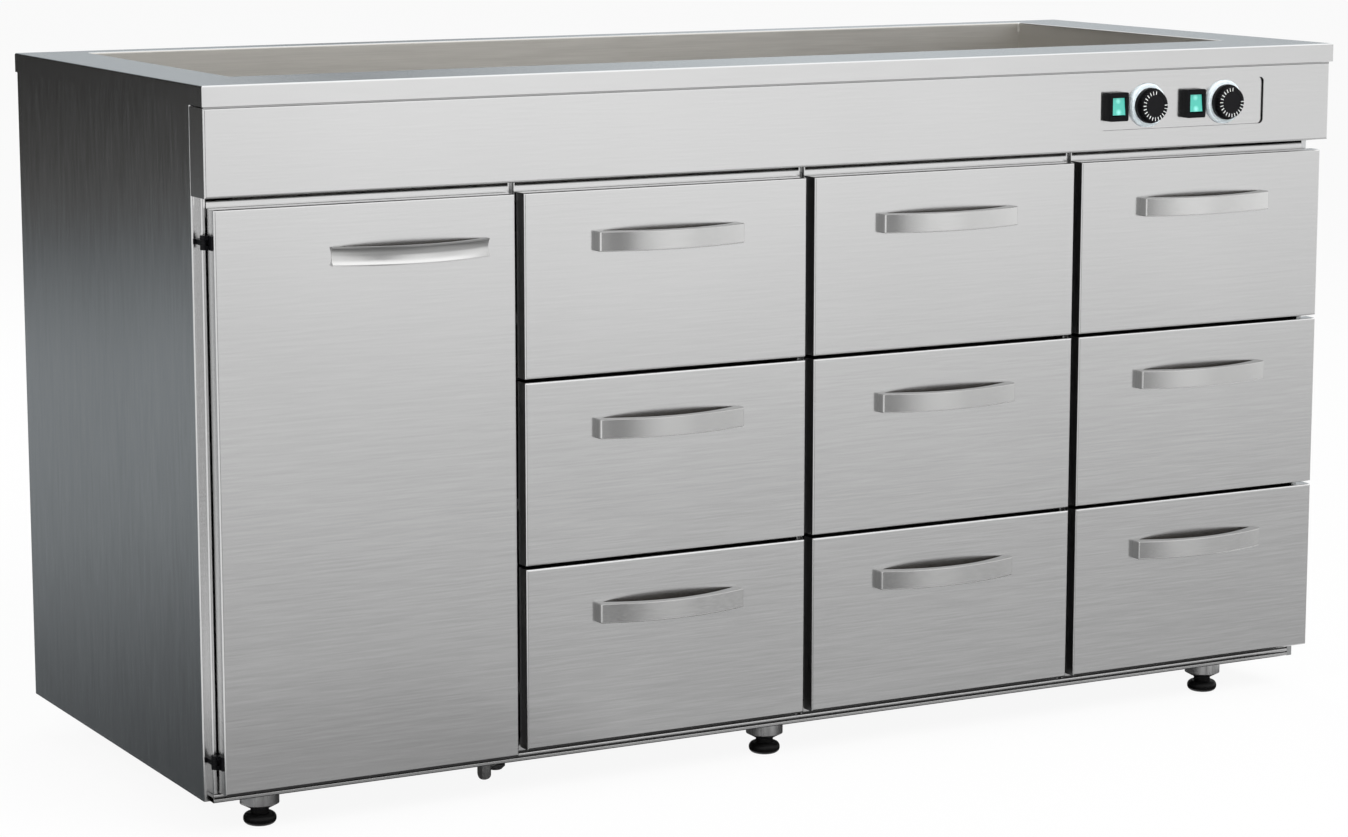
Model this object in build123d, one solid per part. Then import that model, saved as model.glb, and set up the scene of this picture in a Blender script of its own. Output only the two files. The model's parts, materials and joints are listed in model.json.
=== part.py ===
from build123d import *
import math
import os

# Bain marie counter: heated well in a steel worktop over a door and nine drawers.
# Millimetres. +Z is up, the front faces -Y, and the floor is Z = 0.

# Overall size
LENGTH = 1600.0
DEPTH = 650.0
HEIGHT = 880.0

# Sheet metal
SHEET = 1.2
TOP_SHEET = 1.5
BOX_SHEET = 1.0
BEND = 2.4
DRILL_REACH = 4

# Worktop and heated well
EDGE_BAND = 24.0
RIM_LEFT = 84.0
RIM_RIGHT = 90.0
RIM_FRONT = 122.0
RIM_BACK = 40.0
COLLAR = 14.0
WELL_DEPTH = 165.0
WELL_CORNER = 3.0
MAT_THICK = 4.0
MAT_MARGIN = 30.0

# Control fascia under the worktop edge
FASCIA_DROP = 127.5
FASCIA_JOINT = 1.6
FASCIA_SIDE_INSET = 4.0
RECESS_LENGTH = 261.0
RECESS_HEIGHT = 61.0
RECESS_FROM_RIGHT = 112.5
RECESS_BELOW_TOP = 40.5
RECESS_DEPTH = 3.4
RECESS_CORNER = 6.0
PLATE_LAP = 9.0
PLATE_STUD_R = 3.0

# Controls on the recessed plate
CONTROL_PITCH = 122.5
SWITCH_TO_KNOB = 51.0
KNOB_FROM_RECESS_RIGHT = 63.4
SWITCH_WIDTH = 29.0
SWITCH_HEIGHT = 37.0
SWITCH_PROUD = 11.0
SWITCH_BODY = 24.0
SWITCH_SHELL = 2.2
ROCKER_WIDTH = 20.0
ROCKER_HEIGHT = 22.0
ROCKER_TILT = 14.0
ROCKER_PIVOT_R = 1.6
ROCKER_SETBACK = 2.0
ROCKER_CLEARANCE = 0.3
RING_R = 28.5
RING_THICK = 5.0
RING_WALL = 2.5
RING_BEVEL = 1.7
RING_BORE_R = 21.0
KNOB_R = 22.9
KNOB_FACE_R = 20.0
KNOB_SKIRT = 5.0
KNOB_HEIGHT = 13.2
KNOB_GAP = 0.8
KNOB_DISH = 0.8
FLUTES = 30
FLUTE_R = 1.1
SPINDLE_R = 3.0
SPINDLE_TAIL = 11.0
BUSH_R = 5.0
THERMOSTAT_SIZE = 40.0
THERMOSTAT_DEPTH = 34.0

# Door and drawer fronts
COLUMNS = 4
ROWS = 3
FRONT_SETBACK = 10.0
FRONT_THICK = 20.0
FRONT_FLANGE = 24.0
FRONT_GAP = 11.5
ROW_GAP = 4.0
LEFT_MARGIN = 15.0
RIGHT_MARGIN = 8.5
FASCIA_GAP = 14.0
DRAWER_LIFT = 7.5
DOOR_LIFT = 1.5
LINER_LAP = 16.0

# Bow handles
HANDLE_LENGTH = 200.0
HANDLE_HEIGHT = 24.2
HANDLE_REACH = 30.0
HANDLE_STRIP = 7.0
HANDLE_END = 11.5
HANDLE_FOOT = 9.0
HANDLE_DROP = 49.8
HANDLE_ROUND = 1.5
HANDLE_CORNER = 4.0
DOOR_HANDLE_HEIGHT = 22.0
DOOR_HANDLE_INSET = 36.0
DOOR_HANDLE_END = 4.5
DOOR_HANDLE_SCOOP = 3.5

# Carcass
FRAME_GAP = 2.5
STILE_WIDTH = 9.0
STILE_DEPTH = 18.0
RAIL_HEIGHT = 19.0
RAIL_RETURN = 14.0
RAIL_DROP = 5.5
END_FLANGE_SETBACK = 11.5
END_STILE_WIDTH = 6.0
REAR_FLANGE = 18.0
SERVICE_RECESS = 20.0
BASE_FLANGE = 11.3
BASE_RETURN = 12.0
BASE_BAR = 4.9
RIGHT_OVERHANG = 14.0

# Drawer boxes and their runners
RUNNER_DEPTH = 13.0
RUNNER_SHEET = 1.5
RAIL_THICK = 11.0
RUNNER_SIDE_GAP = 1.0
RUNNER_CLEARANCE = 0.3
RUNNER_ABOVE_BOX = 50.0
RUNNER_FRONT_SETBACK = 4.0
BOX_FLOOR_LIFT = 12.0
BOX_TOP_DROP = 20.0
BOX_WELL_GAP = 26.0
BOX_BACK_GAP = 62.0
RUNNER_BACK_GAP = 31.0

# Door hinges
HINGE_HEIGHT = 16.5
HINGE_INSET = 38.0
KNUCKLE_R = 4.5
HINGE_PIN_R = 2.0
PIN_CLEARANCE = 0.05
HINGE_AXIS_SIDE = 5.5
HINGE_AXIS_BACK = 3.0
HINGE_EAR = 5.0
HINGE_GAP = 0.3
HINGE_LEAF = 2.5

# Adjustable feet
FOOT_HEIGHT = 20.0
SOCKET_DROP = 22.7
SOCKET_R = 23.5
SOCKET_NOSE_R = 12.5
SOCKET_TAPER = 6.0
SOCKET_FLARE = 3.0
FOOT_STEM_R = 8.0
FOOT_STEM_LENGTH = 30.0
FOOT_NECK_R = 11.0
FOOT_PAD_R = 19.8
FOOT_PAD = 14.4
FOOT_PAD_ROUND = 6.8
FOOT_CLEARANCE = 0.3
FOOT_INSET_LEFT = 81.0
FOOT_INSET_RIGHT = 138.0
FOOT_INSET_FRONT = 70.0
FOOT_INSET_BACK = 70.0

# Drain below the well
PIPE_R = 9.0
PIPE_WALL = 1.5
PIPE_CLEARANCE = 0.3
DRAIN_FLANGE_R = 21.0
DRAIN_FLANGE_THICK = 2.0
STRAINER_R = 10.0
STRAINER_CLEARANCE = 0.2
STRAINER_HOLES = 6
STRAINER_HOLE_R = 1.4
STRAINER_CIRCLE_R = 5.5
DRAIN_FROM_PARTITION = 36.0
DRAIN_FROM_WELL_FRONT = 52.0
PIPE_BEND = 40.0
PIPE_JOG_TOP = 160.0
PIPE_JOG_BOTTOM = 70.0
VALVE_R = 12.0
VALVE_SETBACK = 58.0
VALVE_FROM_PARTITION = 10.5
VALVE_NECK_R = 7.0
VALVE_NECK = 5.0
VALVE_CLEARANCE = 0.3
OUTLET_HEIGHT = 7.0
OUTLET_BEVEL = 4.0
OUTLET_BORE_R = 6.0
OUTLET_BORE = 5.0
LEVER_THICK = 2.5
LEVER_EYE_R = 11.0
LEVER_WIDTH = 19.0
LEVER_REACH = 27.0
LEVER_ANGLE = 208.0
LEVER_TAB = 18.6
LEVER_CREASE = 3.0
LEVER_CORNER = 7.0

# Mains entry on the back
TERMINAL_WIDTH = 60.0
TERMINAL_DEPTH = 34.0
TERMINAL_HEIGHT = 80.0
TERMINAL_FROM_RIGHT = 48.0
TERMINAL_BELOW_WELL = 40.0
GLAND_R = 10.0
GLAND_NUT_R = 13.0
GLAND_NUT = 8.0
GLAND_REACH = 15.0
GLAND_BORE_R = 5.0
LOOM_R = 4.0
LOOM_BEND = 24.0
LOOM_SETBACK = 45.0

# Levels, from the floor up
BODY_BOTTOM = FOOT_HEIGHT + SOCKET_DROP
BASE_FLOOR = BODY_BOTTOM + BASE_FLANGE
BAR_TOP = BODY_BOTTOM + BASE_BAR
DOOR_BOTTOM = BASE_FLOOR + DOOR_LIFT
DRAWERS_BOTTOM = BASE_FLOOR + DRAWER_LIFT
UNDERSIDE = HEIGHT - TOP_SHEET
FASCIA_BOTTOM = HEIGHT - FASCIA_DROP
FASCIA_TOP = HEIGHT - EDGE_BAND - FASCIA_JOINT
FRONTS_TOP = FASCIA_BOTTOM - FASCIA_GAP
WELL_FLOOR = HEIGHT - WELL_DEPTH
WELL_BOTTOM = WELL_FLOOR - TOP_SHEET
DRAWER_HEIGHT = (FRONTS_TOP - DRAWERS_BOTTOM - ROW_GAP * (ROWS - 1)) / ROWS

# Planes, from the front to the back, with the handles inside the overall box
FRONT = -(DEPTH + FRONT_SETBACK - HANDLE_REACH) / 2
BACK = FRONT + DEPTH
FASCIA_FACE = FRONT + TOP_SHEET
FRONT_FACE = FRONT + FRONT_SETBACK
FRONT_REAR = FRONT_FACE + FRONT_THICK
FRAME = FRONT_REAR + FRAME_GAP
STILE_REAR = FRAME + STILE_DEPTH
FLANGE_FACE = FRAME + END_FLANGE_SETBACK
PANEL_REAR = BACK - TOP_SHEET
BACK_PANEL_FACE = PANEL_REAR - SERVICE_RECESS
BACK_PANEL_INNER = BACK_PANEL_FACE - SHEET
WELL_FRONT = FRONT + RIM_FRONT
WELL_BACK = BACK - RIM_BACK
PLATE_FACE = FASCIA_FACE + RECESS_DEPTH

# Planes, from the left to the right
LEFT = -LENGTH / 2
RIGHT = LENGTH / 2
END_OUTER = LEFT + TOP_SHEET
END_INNER = END_OUTER + SHEET
SIDE_OUTER = RIGHT - RIGHT_OVERHANG
SIDE_INNER = SIDE_OUTER - SHEET
WELL_LEFT = LEFT + RIM_LEFT
WELL_RIGHT = RIGHT - RIM_RIGHT
DOOR_LEFT = LEFT + LEFT_MARGIN
END_STILE_LEFT = DOOR_LEFT - END_STILE_WIDTH
PARTITION_XS = [LEFT + LENGTH * i / COLUMNS for i in range(1, COLUMNS)]
HALF_STILE = STILE_WIDTH / 2
HALF_GAP = FRONT_GAP / 2
COLUMN_NAMES = ["left", "middle", "right"]
ROW_NAMES = ["top", "middle", "bottom"]


def block(x, y, z):
    """A box between low and high pairs along each axis."""
    size = Box(x[1] - x[0], y[1] - y[0], z[1] - z[0])
    return Pos((x[0] + x[1]) / 2, (y[0] + y[1]) / 2, (z[0] + z[1]) / 2) * size


def drill(radius, sheet):
    """A cutter that passes right through a sheet."""
    return Cylinder(radius, sheet * DRILL_REACH)


def turned(outline):
    """A solid of revolution about Z from closed (radius, height) points."""
    return revolve(Plane.XZ * make_face(Polyline(*outline, close=True)), Axis.Z)


def facing_front(shape, x, y, z):
    """Stands a shape that was built along +Z on a front surface."""
    return Pos(x, y, z) * Rot(90, 0, 0) * shape


def folded(outer, sheet, z):
    """A bent sheet: its outer line in plan, thickened to the line's left, raised over z."""
    points = [Vector(*p) for p in outer]
    runs = [(b - a).normalized() for a, b in zip(points, points[1:])]
    normals = [Vector(-run.Y, run.X) for run in runs]
    inner = [points[0] + normals[0] * sheet]
    for point, one, two in zip(points[1:], normals, normals[1:]):
        inner.append(point + (one + two) * (sheet / (1 + one.dot(two))))
    inner.append(points[-1] + normals[-1] * sheet)
    profile = make_face(Polyline(*points, *reversed(inner), close=True))
    for corners, radius in ((points[1:-1], BEND), (inner[1:-1], BEND - sheet)):
        sharp = [profile.vertices().sort_by_distance(corner)[0] for corner in corners]
        profile = fillet(sharp, radius)
    return Pos(0, 0, z[0]) * extrude(profile, z[1] - z[0])


def pan(x, z):
    """A front folded from one sheet: face, four returns and rear flanges."""
    y = (FRONT_FACE, FRONT_REAR)
    outer = block(x, y, z)
    outer = fillet(outer.faces().sort_by(Axis.Y)[0].edges(), BEND)
    inner = block(shrink(x, SHEET), shrink(y, SHEET), shrink(z, SHEET))
    rear = (FRONT_REAR - SHEET, FRONT_REAR)
    return outer - inner - block(shrink(x, FRONT_FLANGE), rear, shrink(z, FRONT_FLANGE))


def shrink(span, by):
    return (span[0] + by, span[1] - by)


def middle(span):
    return (span[0] + span[1]) / 2


def rounded_prism(x, y, z, corner):
    outline = RectangleRounded(x[1] - x[0], y[1] - y[0], corner)
    return Pos(middle(x), middle(y), z[0]) * extrude(outline, z[1] - z[0])


# Worktop and well

def worktop():
    outer = block((LEFT, RIGHT), (FRONT, BACK), (HEIGHT - EDGE_BAND, HEIGHT))
    outer = fillet(outer.faces().sort_by(Axis.Z)[-1].edges(), BEND)
    hollow = block(
        (LEFT + TOP_SHEET, RIGHT - TOP_SHEET),
        (FRONT + TOP_SHEET, BACK - TOP_SHEET),
        (HEIGHT - EDGE_BAND, UNDERSIDE),
    )
    x = (WELL_LEFT, WELL_RIGHT)
    y = (WELL_FRONT, WELL_BACK)
    deep = (HEIGHT - COLLAR, HEIGHT)
    outside = shrink(x, -TOP_SHEET), shrink(y, -TOP_SHEET)
    collar = rounded_prism(*outside, deep, WELL_CORNER + TOP_SHEET)
    top = outer - hollow + collar - rounded_prism(x, y, deep, WELL_CORNER)
    upper_face = top.faces().filter_by(Plane.XY).sort_by(Axis.Z)[-1]
    return fillet(upper_face.inner_wires()[0].edges(), BEND)


def well_tank():
    """A tank welded from flat plates, hung on the worktop's collar."""
    x = (WELL_LEFT, WELL_RIGHT)
    y = (WELL_FRONT, WELL_BACK)
    walls = (WELL_BOTTOM, HEIGHT - COLLAR)
    overlap = shrink(x, -TOP_SHEET)
    drain = Pos(*drain_point(), WELL_BOTTOM) * drill(STRAINER_R, TOP_SHEET)
    return [
        block(x, y, (WELL_BOTTOM, WELL_FLOOR)) - drain,
        block(overlap, (WELL_FRONT - TOP_SHEET, WELL_FRONT), walls),
        block(overlap, (WELL_BACK, WELL_BACK + TOP_SHEET), walls),
        block((WELL_LEFT - TOP_SHEET, WELL_LEFT), y, walls),
        block((WELL_RIGHT, WELL_RIGHT + TOP_SHEET), y, walls),
    ]


def drain_point():
    x = PARTITION_XS[0] - HALF_STILE - DRAIN_FROM_PARTITION
    return x, WELL_FRONT + DRAIN_FROM_WELL_FRONT


def heating_mats():
    y = shrink((WELL_FRONT, WELL_BACK), MAT_MARGIN)
    z = (WELL_BOTTOM - MAT_THICK, WELL_BOTTOM)
    drain_edge = drain_point()[0] - DRAIN_FLANGE_R
    edges = [WELL_LEFT] + PARTITION_XS + [WELL_RIGHT]
    spans = [shrink(span, MAT_MARGIN) for span in zip(edges, edges[1:])]
    spans[0] = (spans[0][0], drain_edge - MAT_MARGIN)
    return [block(span, y, z) for span in spans]


# Carcass

def left_end_panel():
    outer = [
        (END_OUTER + REAR_FLANGE, PANEL_REAR),
        (END_OUTER, PANEL_REAR),
        (END_OUTER, FLANGE_FACE),
        (END_STILE_LEFT, FLANGE_FACE),
    ]
    return folded(outer, SHEET, (BODY_BOTTOM, UNDERSIDE))


def right_side_panel():
    outer = [
        (SIDE_OUTER - STILE_WIDTH, FRAME),
        (SIDE_OUTER, FRAME),
        (SIDE_OUTER, PANEL_REAR),
        (SIDE_OUTER - REAR_FLANGE, PANEL_REAR),
    ]
    panel = folded(outer, SHEET, (BODY_BOTTOM, UNDERSIDE))
    fascia_room = block(
        (SIDE_OUTER - STILE_WIDTH, SIDE_OUTER), (FRAME, FLANGE_FACE), (FASCIA_BOTTOM, UNDERSIDE)
    )
    return panel - fascia_room


def back_panel():
    y = (BACK_PANEL_INNER, BACK_PANEL_FACE)
    panel = block((END_INNER, SIDE_INNER), y, (BODY_BOTTOM, UNDERSIDE))
    return panel - facing_front(drill(GLAND_R, SHEET), terminal_x(), BACK_PANEL_FACE, gland_z())


def base_panel():
    """A tray whose front edge is folded back, and the bar under that edge."""
    x = (END_INNER, SIDE_INNER)
    y = (FRAME + BEND, BACK_PANEL_INNER)
    z = (BODY_BOTTOM, BASE_FLOOR)
    inside = (FRAME + BEND, BACK_PANEL_INNER - SHEET)
    tray = block(x, y, z) - block(shrink(x, SHEET), inside, (BODY_BOTTOM, BASE_FLOOR - SHEET))
    tray -= block((END_INNER, END_STILE_LEFT), (FRAME, FLANGE_FACE + BEND), z)
    front_x = (END_STILE_LEFT, SIDE_OUTER - STILE_WIDTH)
    front_y = (FRAME, FRAME + BASE_RETURN)
    edge = [
        (front_y[1], BASE_FLOOR),
        (FRAME, BASE_FLOOR),
        (FRAME, BAR_TOP),
        (front_y[1], BAR_TOP),
    ]
    tray += Plane.YZ * folded(edge, SHEET, front_x)
    tray -= Pos(*valve_point(), BASE_FLOOR) * drill(PIPE_R + PIPE_CLEARANCE, SHEET)
    bar = block(front_x, front_y, (BODY_BOTTOM, BAR_TOP))
    bar = fillet(bar.faces().sort_by(Axis.Y)[0].edges().filter_by(Axis.X), SHEET)
    return [tray, bar]


def partitions():
    walls = []
    for x in PARTITION_XS:
        outer = [
            (x - HALF_STILE, BACK_PANEL_INNER),
            (x - HALF_STILE, STILE_REAR),
            (x + HALF_STILE, STILE_REAR),
            (x + HALF_STILE, BACK_PANEL_INNER),
        ]
        walls.append(folded(outer, SHEET, (BASE_FLOOR, WELL_BOTTOM)))
    return walls


def front_rails():
    """A closed stile beside the door, stiles open to the front, and the rails between them."""
    z = (BASE_FLOOR, FASCIA_BOTTOM)
    stiles = [(END_STILE_LEFT, DOOR_LEFT)]
    stiles += [(x - HALF_STILE, x + HALF_STILE) for x in PARTITION_XS]
    left, right = stiles[0]
    closed = [(left, STILE_REAR), (left, FRAME), (right, FRAME), (right, STILE_REAR)]
    frame = [folded(closed, SHEET, z)]
    for left, right in stiles[1:]:
        channel = [(right, FRAME), (right, STILE_REAR), (left, STILE_REAR), (left, FRAME)]
        frame.append(folded(channel, SHEET, z))
    rights = [left for left, _ in stiles[1:]] + [SIDE_OUTER - STILE_WIDTH]
    back = FRAME + RAIL_RETURN
    top = FASCIA_BOTTOM - RAIL_DROP
    upper = [(back, top), (FRAME, top), (FRAME, top - RAIL_HEIGHT)]
    lower = [(FRAME, BASE_FLOOR + RAIL_HEIGHT), (FRAME, BASE_FLOOR), (back, BASE_FLOOR)]
    for (_, left), right in zip(stiles, rights):
        frame += [Plane.YZ * folded(angle, SHEET, (left, right)) for angle in (upper, lower)]
    return frame


# Control fascia

def recess_span():
    right = RIGHT - RECESS_FROM_RIGHT
    top = HEIGHT - RECESS_BELOW_TOP
    return (right - RECESS_LENGTH, right), (top - RECESS_HEIGHT, top)


def upright_prism(x, y, z, corner):
    """A prism along Y with rounded corners in its front view."""
    outline = RectangleRounded(x[1] - x[0], z[1] - z[0], corner)
    return facing_front(extrude(outline, y[1] - y[0]), middle(x), y[1], middle(z))


def control_fascia():
    """A channel under the worktop's edge, with an opening in front of the control plate."""
    x = (END_OUTER, RIGHT - FASCIA_SIDE_INSET)
    z = (FASCIA_BOTTOM, FASCIA_TOP)
    outer = block(x, (FASCIA_FACE, FLANGE_FACE), z)
    outer = fillet(outer.faces().sort_by(Axis.Y)[0].edges(), BEND)
    hollow = block(shrink(x, SHEET), (FASCIA_FACE + SHEET, FLANGE_FACE), shrink(z, SHEET))
    hole_x, hole_z = recess_span()
    hole = upright_prism(hole_x, (FASCIA_FACE, FASCIA_FACE + SHEET), hole_z, RECESS_CORNER)
    return outer - hollow - hole


def knob_x(index):
    right = recess_span()[0][1] - KNOB_FROM_RECESS_RIGHT
    return right - CONTROL_PITCH * (1 - index)


def switch_x(index):
    return knob_x(index) - SWITCH_TO_KNOB


def control_z():
    return middle(recess_span()[1])


def control_plate():
    """A plate behind the fascia's opening, held off the fascia by four studs."""
    hole_x, hole_z = recess_span()
    y = (PLATE_FACE, PLATE_FACE + SHEET)
    plate = block(shrink(hole_x, -PLATE_LAP), y, shrink(hole_z, -PLATE_LAP))
    for index in range(2):
        plate -= block(switch_body_x(index), y, switch_body_z())
        plate -= facing_front(drill(BUSH_R, SHEET), knob_x(index), PLATE_FACE, control_z())
    stud = extrude(Circle(PLATE_STUD_R), RECESS_DEPTH - SHEET)
    for x in shrink(hole_x, -PLATE_LAP / 2):
        for z in shrink(hole_z, -PLATE_LAP / 2):
            plate += facing_front(stud, x, PLATE_FACE, z)
    return plate


def switch_body_x(index):
    half = ROCKER_WIDTH / 2 + SWITCH_SHELL
    return (switch_x(index) - half, switch_x(index) + half)


def switch_body_z():
    half = ROCKER_HEIGHT / 2 + SWITCH_SHELL
    return (control_z() - half, control_z() + half)


def control_gear():
    gear = []
    for index in range(2):
        gear.append(switch_housing(index))
        gear.append(thermostat(index))
    return gear


def switch_housing(index):
    x = switch_x(index)
    z = control_z()
    bezel = block(
        (x - SWITCH_WIDTH / 2, x + SWITCH_WIDTH / 2),
        (PLATE_FACE - SWITCH_PROUD, PLATE_FACE),
        (z - SWITCH_HEIGHT / 2, z + SWITCH_HEIGHT / 2),
    )
    bezel = fillet(bezel.edges().filter_by(Axis.Y), SWITCH_SHELL)
    body = block(switch_body_x(index), (PLATE_FACE, PLATE_FACE + SWITCH_BODY), switch_body_z())
    pocket = block(
        shrink((x - ROCKER_WIDTH / 2, x + ROCKER_WIDTH / 2), -ROCKER_CLEARANCE),
        (PLATE_FACE - SWITCH_PROUD, PLATE_FACE + SWITCH_BODY - SWITCH_SHELL),
        (z - ROCKER_HEIGHT / 2 - SWITCH_SHELL / 2, z + ROCKER_HEIGHT / 2 + SWITCH_SHELL / 2),
    )
    trunnions = Pos(x, rocker_axis_y(), z) * Rot(0, 90, 0)
    bores = trunnions * Cylinder(ROCKER_PIVOT_R + PIN_CLEARANCE, ROCKER_WIDTH + SWITCH_SHELL)
    return bezel + body - pocket - bores


def rocker_axis_y():
    return PLATE_FACE - SWITCH_PROUD / 2


def rocker(index):
    """A lit rocker, dished across its face, on trunnions in the housing's side walls."""
    face = PLATE_FACE - SWITCH_PROUD + ROCKER_SETBACK
    reach = rocker_axis_y() - face
    half = ROCKER_HEIGHT / 2
    rise = reach * math.tan(math.radians(ROCKER_TILT / 2)) / 2
    outline = [
        (reach / 2, -half / 2),
        (rise - reach, -half),
        (rise * 2 - reach, 0),
        (rise - reach, half),
        (reach / 2, half / 2),
    ]
    body = extrude(Plane.YZ * make_face(Polyline(*outline, close=True)), ROCKER_WIDTH / 2, both=True)
    pivot = Rot(0, 90, 0) * Cylinder(ROCKER_PIVOT_R, ROCKER_WIDTH + SWITCH_SHELL - ROCKER_CLEARANCE)
    seat = Pos(switch_x(index), rocker_axis_y(), control_z())
    return seat * Rot(-ROCKER_TILT / 2, 0, 0) * (body + pivot)


def thermostat(index):
    x = knob_x(index)
    z = control_z()
    half = THERMOSTAT_SIZE / 2
    rear = PLATE_FACE + SHEET
    body = block((x - half, x + half), (rear, rear + THERMOSTAT_DEPTH), (z - half, z + half))
    bush = facing_front(extrude(Circle(BUSH_R), SHEET + RING_THICK), x, rear, z)
    bore = facing_front(Cylinder(SPINDLE_R + PIN_CLEARANCE, THERMOSTAT_DEPTH), x, rear, z)
    return body + bush - bore


def dial_rings():
    outline = [
        (RING_BORE_R, 0),
        (RING_R, 0),
        (RING_R, RING_WALL),
        (RING_R - RING_BEVEL, RING_THICK),
        (RING_BORE_R, RING_THICK),
    ]
    return [facing_front(turned(outline), knob_x(index), PLATE_FACE, control_z()) for index in range(2)]


def knob(index):
    """A fluted knob with a dished face, moulded on its spindle."""
    base = RING_THICK + KNOB_GAP
    top = base + KNOB_HEIGHT
    body = turned([
        (0, -SPINDLE_TAIL),
        (SPINDLE_R, -SPINDLE_TAIL),
        (SPINDLE_R, base),
        (KNOB_R, base),
        (KNOB_R, base + KNOB_SKIRT),
        (KNOB_FACE_R, base + KNOB_SKIRT),
        (KNOB_FACE_R, top - KNOB_DISH),
        (KNOB_FACE_R - KNOB_DISH, top),
        (KNOB_FACE_R - KNOB_SKIRT, top),
        (KNOB_FACE_R - KNOB_SKIRT - KNOB_DISH, top - KNOB_DISH),
        (0, top - KNOB_DISH),
    ])
    grip = middle((base + KNOB_SKIRT, top))
    flute = Pos(0, 0, grip) * Cylinder(FLUTE_R, top - base - KNOB_SKIRT)
    body -= [loc * flute for loc in PolarLocations(KNOB_FACE_R + FLUTE_R / 2, FLUTES)]
    return facing_front(body, knob_x(index), PLATE_FACE, control_z())


# Door

def door_span():
    return (DOOR_LEFT, PARTITION_XS[0] - HALF_GAP), (DOOR_BOTTOM, FRONTS_TOP)


def door_skin():
    return pan(*door_span())


def door_liner():
    x, z = door_span()
    return block(shrink(x, LINER_LAP), (FRONT_REAR, FRONT_REAR + SHEET), shrink(z, LINER_LAP))


def hinge_axis():
    return DOOR_LEFT - HINGE_AXIS_SIDE, FRONT_REAR - HINGE_AXIS_BACK


def hinge_levels():
    z = door_span()[1]
    return [z[1] - HINGE_INSET, z[0] + HINGE_INSET]


def hinge_brackets():
    """Two arms on the end panel's front flange, each with a knuckle and its pin."""
    pieces = []
    x, y = hinge_axis()
    for level in hinge_levels():
        half = HINGE_HEIGHT / 2 - HINGE_EAR - HINGE_GAP
        z = (level - half, level + half)
        bracket = block((END_INNER, END_STILE_LEFT), (FLANGE_FACE - HINGE_LEAF, FLANGE_FACE), z)
        bracket += block((x - KNUCKLE_R, END_STILE_LEFT), (y, FLANGE_FACE), z) + knuckle(x, y, z)
        pin = Pos(x, y, level) * Cylinder(HINGE_PIN_R, HINGE_HEIGHT)
        pieces += [bracket - pin_hole(x, y, level), pin]
    return pieces


def knuckle(x, y, z):
    return Pos(x, y, middle(z)) * Cylinder(KNUCKLE_R, z[1] - z[0])


def pin_hole(x, y, level):
    return Pos(x, y, level) * Cylinder(HINGE_PIN_R + PIN_CLEARANCE, HINGE_HEIGHT)


def door_hinges():
    """Two leaves on the door's side return, each with ears above and below the bracket."""
    leaves = []
    x, y = hinge_axis()
    for level in hinge_levels():
        z = (level - HINGE_HEIGHT / 2, level + HINGE_HEIGHT / 2)
        leaf_end = y - KNUCKLE_R - HINGE_GAP
        leaf = block((DOOR_LEFT - HINGE_LEAF, DOOR_LEFT), (FRONT_FACE + BEND, leaf_end), z)
        for ear in ((z[0], z[0] + HINGE_EAR), (z[1] - HINGE_EAR, z[1])):
            leaf += knuckle(x, y, ear) + block((x, DOOR_LEFT), (leaf_end - HINGE_LEAF, y), ear)
        leaves.append(leaf - pin_hole(x, y, level))
    return leaves


# Handles

def bow_outline(end):
    """Plan of a bow: a flat arc outside, a tighter arc inside, blunt feet on the front."""
    half = HANDLE_LENGTH / 2
    inside = half - HANDLE_FOOT
    outer = ThreePointArc((-half, -end), (0, -HANDLE_REACH), (half, -end))
    inner = ThreePointArc((inside, 0), (0, HANDLE_STRIP - HANDLE_REACH), (-inside, 0))
    left = Polyline((-inside, 0), (-half, 0), (-half, -end))
    right = Polyline((half, -end), (half, 0), (inside, 0))
    return make_face([left, outer, right, inner])


def drawer_handle():
    plan = bow_outline(HANDLE_END)
    plan = fillet(plan.vertices().sort_by(Axis.Y)[:2], HANDLE_CORNER)
    bow = extrude(plan, HANDLE_HEIGHT / 2, both=True)
    outside = bow.edges().sort_by(SortBy.LENGTH)[-2:]
    return fillet(outside, HANDLE_ROUND)


def door_handle_shape():
    """The door's bow has thinner feet and a scoop along its outside."""
    bow = extrude(bow_outline(DOOR_HANDLE_END), DOOR_HANDLE_HEIGHT / 2, both=True)
    rise = HANDLE_REACH - DOOR_HANDLE_END
    radius = (HANDLE_LENGTH ** 2 / 4 + rise ** 2) / (2 * rise)
    half = DOOR_HANDLE_HEIGHT / 2 - HANDLE_ROUND
    scoop = (half ** 2 + DOOR_HANDLE_SCOOP ** 2) / (2 * DOOR_HANDLE_SCOOP)
    groove = Plane.XZ * Pos(radius + scoop - DOOR_HANDLE_SCOOP, 0) * Circle(scoop)
    ring = revolve(groove, Axis.Z)
    return bow - Pos(0, radius - HANDLE_REACH, 0) * ring


def handle_on(shape, x, top, height):
    return Pos(x, FRONT_FACE, top - HANDLE_DROP - height / 2) * shape


def door_handle():
    x, z = door_span()
    centre = x[1] - DOOR_HANDLE_INSET - HANDLE_LENGTH / 2
    return handle_on(door_handle_shape(), centre, z[1], DOOR_HANDLE_HEIGHT)


# Drawers

def drawer_span(column, row):
    left = PARTITION_XS[column] + HALF_GAP
    right = RIGHT - RIGHT_MARGIN
    if column + 1 < len(PARTITION_XS):
        right = PARTITION_XS[column + 1] - HALF_GAP
    top = FRONTS_TOP - row * (DRAWER_HEIGHT + ROW_GAP)
    return (left, right), (top - DRAWER_HEIGHT, top)


def bay(column):
    """The clear width of a drawer column between its stiles or flanges."""
    right = SIDE_OUTER - STILE_WIDTH
    if column + 1 < len(PARTITION_XS):
        right = PARTITION_XS[column + 1] - HALF_STILE
    return (PARTITION_XS[column] + HALF_STILE, right)


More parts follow.
